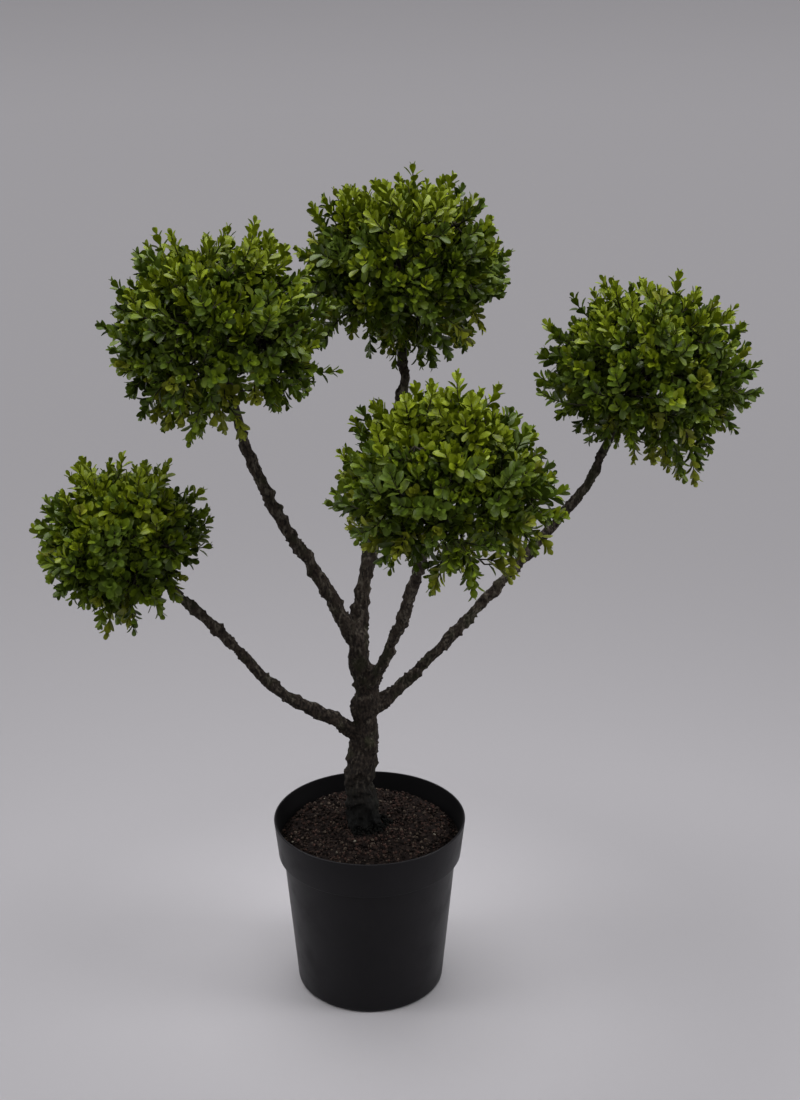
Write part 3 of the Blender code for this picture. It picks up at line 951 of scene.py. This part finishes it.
leafTints = {
    "young": {"shade": (0.162, 0.207, 0.007), "roughness": 0.4},
    "green": {"shade": (0.096, 0.139, 0.006), "roughness": 0.38},
    "deep": {"shade": (0.061, 0.096, 0.009), "roughness": 0.36},
    "olive": {"shade": (0.174, 0.197, 0.014), "roughness": 0.44},
    # painted light: the inner leaves are painted paler than the outer green ones, for the shade inside the
    # ball
    "inner": {"shade": (0.106, 0.151, 0.014), "roughness": 0.44},
}
# painted light and shade in these shares: the young tint at the sides and the olive tint at the sides and
# underneath stand for light shining through the leaves, and the deep tint, kept mostly to the middle
# height, is partly painted shade
tintShares = {
    "olive": {"anywhere": 0.015, "paintedLightAside": 0.035, "low": 0.55, "allBelow": 0.15},
    "young": {"anywhere": 0.01, "paintedLightAside": 0.16, "allAbove": 0.78},
    "green": {"anywhere": 0.5, "ends": 0.45, "allBelow": 0.3},
}


def leafFinish(name, kind):
    finish = Finish(name + " boxwood leaf", {"Specular IOR Level": 0.2})
    mottle = lumps(finish, 0.0045, 2.0)
    patches = between(finish, mottle, 0.35, 0.65)
    finish.feed("Base Color", blend(finish, patches, *shades(kind["shade"], 0.18)))
    finish.feed("Roughness", mottle * 0.12 + (kind["roughness"] - 0.06))
    relief(finish, lumps(finish, 0.0014, 1.0), depth=0.0002, strength=0.35)
    return finish


def twigFinish():
    finish = Finish("brown green twig", {"Specular IOR Level": 0.3})
    pattern = lumps(finish, 0.004, 4.0)
    patches = between(finish, pattern, 0.4, 0.65)
    finish.feed("Base Color", blend(finish, patches, twigShades["dark"], twigShades["light"]))
    finish.feed("Roughness", pattern * 0.2 + 0.65)
    relief(finish, pattern, depth=0.0006, strength=0.6)
    return finish


def spiralDirections(count):
    # directions that cover a sphere evenly, each turned from the last by the golden angle
    golden = math.pi * (3.0 - math.sqrt(5.0))
    for i in range(count):
        height = 1.0 - (2.0 * i + 1.0) / count
        ring = math.sqrt(1.0 - height * height)
        yield Vector((ring * math.cos(golden * i), ring * math.sin(golden * i), height))


def tube(points, startRadius, endRadius, sides):
    # a tapered twig along its points
    path = np.array(points)
    ahead = np.gradient(path, axis=0)
    ahead /= np.linalg.norm(ahead, axis=1)[:, None]
    across = np.cross(ahead, np.eye(3)[np.abs(ahead[0]).argmin()])
    across /= np.linalg.norm(across, axis=1)[:, None]
    over = np.cross(ahead, across)
    angles = np.arange(sides) * 2 * math.pi / sides
    radii = np.linspace(startRadius, endRadius, len(path))[:, None, None]
    rings = path[:, None] + radii * (across[:, None] * np.cos(angles)[None, :, None]
                                     + over[:, None] * np.sin(angles)[None, :, None])
    triangles = ringFaces(len(path), sides)
    last = (len(path) - 1) * sides
    for side in range(1, sides - 1):
        triangles += [(0, side + 1, side), (last, last + side, last + side + 1)]
    return rings.reshape(-1, 3), np.array(triangles)


class Ball:
    # one clipped ball of leaves: its twigs, and its leaves by tint
    def __init__(self, name, seed):
        self.shape = balls[name]
        self.centre = Vector(self.shape["centre"])
        self.reach = self.shape["reach"]
        last = Vector(boughs[name]["route"][-1])
        self.fromBough = (last - self.centre).normalized()
        self.rng = random.Random(seed)
        self.twigs = []
        self.leaves = {tint: [] for tint in leafTints}

    def place(self, direction, share):
        # the point at a share of the ball's reach in a direction
        high = self.shape["dome" if direction.z > 0.0 else "height"]
        start, change = growth["archFrom"]
        near = min(1.0, max(0.0, (direction.dot(self.fromBough) - start) / change))
        share *= 1.0 - growth["arch"] * near * near * (3.0 - 2.0 * near)
        turn = math.degrees(math.atan2(direction.z, direction.x)) % 360.0 / 30.0
        outward = np.interp(turn, range(12), self.shape["outline"], period=12)
        share *= 1.0 + (outward - 1.0) * (1.0 - direction.y**2)
        return self.centre + direction * Vector((1.0, 1.0, high)) * self.reach * share

    def counted(self, number):
        return round(number * (self.reach / growth["forReach"]) ** 2)

    def lump(self, direction):
        # the outline is a little uneven
        there = direction / growth["lumpSize"] + self.centre * 37.0
        return 1.0 + growth["lumpiness"] * noise.noise(there)

    def grow(self, boughEnd, onward, thickness):
        start = boughEnd - onward * stem["sunk"]
        middle = boughEnd + onward * self.reach * stem["onward"]
        end = self.place(Vector((0.0, 0.0, 1.0)), stem["endAt"])
        points = bent(start, middle, end, stem["steps"])
        self.twigs.append(tube(points, thickness * stem["thick"], twigSize["twig"], twigSides["stem"]))
        spin = Matrix.Rotation(self.rng.uniform(0.0, 2 * math.pi), 3, "Z")
        forks = []
        for direction in spiralDirections(growth["twigs"]):
            fork = self.place(direction, growth["forkAt"])
            forks.append((direction, fork))
            points = [self.centre, fork]
            self.twigs.append(tube(points, twigSize["twig"], twigSize["shoot"], twigSides["twig"]))
        shoots = []
        for direction in spiralDirections(self.counted(growth["shoots"])):
            direction = self.shaken(spin @ direction, growth["jitter"])
            fork = max(forks, key=lambda pair: pair[0].dot(direction))[1]
            end = self.hung(self.place(direction, growth["shootsEndAt"]), direction, growth["shootDroop"])
            shoots.append((direction, fork, end))
        self.reached = [0.0] * len(shoots)
        for direction in spiralDirections(self.counted(growth["sprays"])):
            direction = self.shaken(spin @ direction, growth["sprayJitter"])
            if self.inTuft(direction):
                self.growSpray(direction, shoots, growth["spraysEndAt"])
        for direction in spiralDirections(self.counted(growth["innerSprays"])):
            direction = self.shaken(direction, growth["sprayJitter"])
            if direction.z > growth["innerAbove"]:
                self.growSpray(direction, shoots, growth["innerEndAt"])
        for (_, fork, end), share in zip(shoots, self.reached):
            if share > 0.0:  # a shoot goes as far as its last spray
                points = [fork, fork.lerp(end, share)]
                self.twigs.append(tube(points, twigSize["shoot"], twigSize["spray"][0], twigSides["shoot"]))

    def loose(self, amount):
        return Vector([self.rng.uniform(-amount, amount) for _ in range(3)])

    def swing(self, degrees):
        return math.radians(self.rng.uniform(-degrees, degrees))

    def shaken(self, direction, amount):
        return (direction + self.loose(amount)).normalized()

    def hung(self, point, direction, share):
        # low sprays hang down
        drop = growth["droop"] * max(0.0, -direction.z) * self.reach * share
        return point - Vector((0.0, 0.0, drop))

    def inTuft(self, direction):
        # underneath, sprays hang in tufts with sky between them
        there = direction / growth["tuftSize"] - self.centre * 53.0
        return noise.noise(there) > -direction.z - growth["tuftFullness"]

    def growSpray(self, direction, shoots, endAt):
        rng = self.rng
        isInner = endAt is growth["innerEndAt"]
        nearest = max(range(len(shoots)), key=lambda i: shoots[i][0].dot(direction))
        _, fork, shootEnd = shoots[nearest]
        along = rng.uniform(*growth["innerStartAt" if isInner else "spraysStartAt"])
        self.reached[nearest] = max(self.reached[nearest], along)
        root = fork.lerp(shootEnd, along)
        low, high = endAt
        share = (low + (high - low) * rng.random() ** growth["evenness"]) * self.lump(direction)
        end = self.hung(self.place(direction, share), direction, 1.0)
        isLow = direction.z < growth["tasselsBelow"]
        if isLow and not isInner and rng.random() < growth["tassels"]:
            end.z -= rng.uniform(*growth["tasselDrop"]) * min(1.0, (-direction.z - 0.3) * 2.0)
        level, change = growth["turnFrom"]
        turn = min(1.0, max(-1.0, (direction.z - level) / change))
        lean = growth["upturn"] * turn if turn > 0.0 else growth["downturn"] * turn
        heading = (direction + Vector((0.0, 0.0, lean)) + self.loose(growth["headingJitter"])).normalized()
        middle = end - heading * (end - root).length * 0.5
        points = bent(root, middle, end, steps=5)
        self.twigs.append(tube(points, *twigSize["spray"], twigSides["spray"]))
        self.addLeaves(points, direction, isInner)

    def addLeaves(self, points, direction, isInner):
        rng = self.rng
        tip, inner = ("inner", "inner") if isInner else self.chosenTints(direction)
        turn = rng.uniform(0.0, math.pi)
        lengths = np.cumsum([0.0] + [(b - a).length for a, b in zip(points, points[1:])])
        total = lengths[-1]
        size = leafShape["length"] * rng.uniform(*leafShape["vary"])
        path = np.array(points)
        loose = leafShape["loose"]
        stub = leafShape["stub"] if rng.random() < leafShape["stubs"] else 0.0
        for pair in range(leafShape["pairs"]):
            tint = inner if pair < leafShape["middlePairs"] else "inner"
            tint = tip if pair < leafShape["tipPairs"] else tint
            back = stub + pair * leafShape["pairSpacing"] * rng.uniform(*leafShape["spacingVary"])
            if back > total * leafShape["lowestPair"]:
                break
            at = Vector([np.interp(total - back, lengths, path[:, k]) for k in range(3)])
            i = min(len(points) - 2, int(np.searchsorted(lengths, total - back) - 1))
            along = (points[max(i, 0) + 1] - points[max(i, 0)]).normalized()
            across = Matrix.Rotation(turn + pair * math.pi / 2, 3, along) @ along.orthogonal().normalized()
            for side in (across, -across):
                angle = math.radians(leafShape["tilts"][pair]) + self.swing(loose["tilt"])
                side = Matrix.Rotation(self.swing(loose["turn"]), 3, along) @ side
                outward = along * math.cos(angle) + side * math.sin(angle)
                upper = along * math.sin(angle) - side * math.cos(angle)
                upper = Matrix.Rotation(self.swing(loose["roll"]), 3, outward) @ upper
                length = size * leafShape["sizes"][pair] * rng.uniform(*leafShape["sizeVary"])
                broad, fold, curl = (rng.uniform(*leafShape[key])
                                     for key in ("widthVary", "foldVary", "curlVary"))
                self.leaves[tint].append((at, outward, upper, length, broad, fold, curl))

    def chosenTints(self, direction):
        # the tints of a spray's tip and middle. The young tint goes mostly on top, partly for pale young
        # tips and partly as painted light, and at the sides as painted light shining through the leaves;
        # olive goes on a few leaves anywhere, and on many of the lowest as painted light shining through
        # them
        up = 0.5 + 0.5 * direction.z
        paintedLightAside = abs(direction.x)
        low = max(0.0, -direction.z)
        draw = self.rng.random()
        olive, young, green = (tintShares[tint] for tint in ("olive", "young", "green"))
        if draw < olive["anywhere"] + olive["paintedLightAside"] * paintedLightAside + olive["low"] * low:
            return "olive", "olive" if low > olive["allBelow"] else "green"
        if draw < young["anywhere"] + young["paintedLightAside"] * paintedLightAside + self.shape["youthAndPaintedLight"] * up**4:
            return "young", "young" if up > young["allAbove"] else "green"
        if draw < green["anywhere"] + green["ends"] * max(up, low):
            return "green", "green" if low > green["allBelow"] else "deep"
        return "deep", "deep"


def leafMesh(columns, rows):
    # every leaf of a tint at once: rows of three points from stalk to tip
    rows = np.array(rows)
    t = np.append(np.repeat(rows[:, 0], 3), 1.0)
    x = np.append((rows[:, 1][:, None] * np.array([-1.0, 0.0, 1.0])[None]).ravel(), 0.0)
    at, outward, upper = columns[:3]
    length, broad, fold, curl = (column[:, None] for column in columns[3:])
    across = np.cross(outward, upper)
    width = length * broad * leafShape["width"] / leafShape["length"] / 2
    rise = leafShape["fold"] * fold * np.abs(x) * width * 2 - leafShape["curl"] * curl * t**2 * length
    points = (at[:, None] + outward[:, None] * (t * length)[:, :, None]
              + across[:, None] * (x * width)[:, :, None] + upper[:, None] * rise[:, :, None])
    faces = []
    for row in range(len(rows) - 1):
        for column in range(2):
            a = row * 3 + column
            faces += [(a, a + 1, a + 4), (a, a + 4, a + 3)]
    last = (len(rows) - 1) * 3
    faces += [(last, last + 1, last + 3), (last + 1, last + 2, last + 3)]
    triangles = np.array(faces)[None] + (np.arange(len(at)) * len(t))[:, None, None]
    return points.reshape(-1, 3), triangles.reshape(-1, 3)


def clearOfLimbs(columns, centres, radius):
    # whether a leaf's stalk, middle and tip stay off the limbs
    at, outward, _, length = columns[:4]
    keep = np.ones(len(at), dtype=bool)
    for share in (0.25, 0.6, 1.0):
        there = at + outward * length[:, None] * share
        keep &= np.concatenate([gaps.min(1) for gaps in gapsTo(centres, there)]) > radius
    return keep


def makeBall(name, seed, finishes, twigLook, centres):
    ball = Ball(name, seed)
    path = boughPath(name, spacing=0.004)
    ball.grow(path[-1], (path[-1] - path[-2]).normalized(), boughs[name]["thin"])
    node = "foliage_" + name
    settle(meshPiece("twigs_" + name, *joined(ball.twigs), twigLook, 180), "leaves", node)
    for tint, leaves in ball.leaves.items():
        columns = [np.array(column) for column in zip(*leaves)]
        keep = clearOfLimbs(columns, centres, growth["offLimbs"])
        rows = leafShape["innerRows" if tint == "inner" else "rows"]
        kept = [column[keep] for column in columns]
        piece = meshPiece("leaves_" + tint + "_" + name, *leafMesh(kept, rows), finishes[tint], 180)
        settle(piece, "leaves", node)
        print("  ", piece.name, int(keep.sum()), "leaves")


leafFinishes = {tint: leafFinish(tint, kind) for tint, kind in leafTints.items()}
twigLook = twigFinish()
limbCentres = np.array([centre for path in limbPaths for centre in path[::3]])
for seed, name in enumerate(balls, growth["firstSeed"]):
    makeBall(name, seed, leafFinishes, twigLook, limbCentres)
print("balls are in leaf")
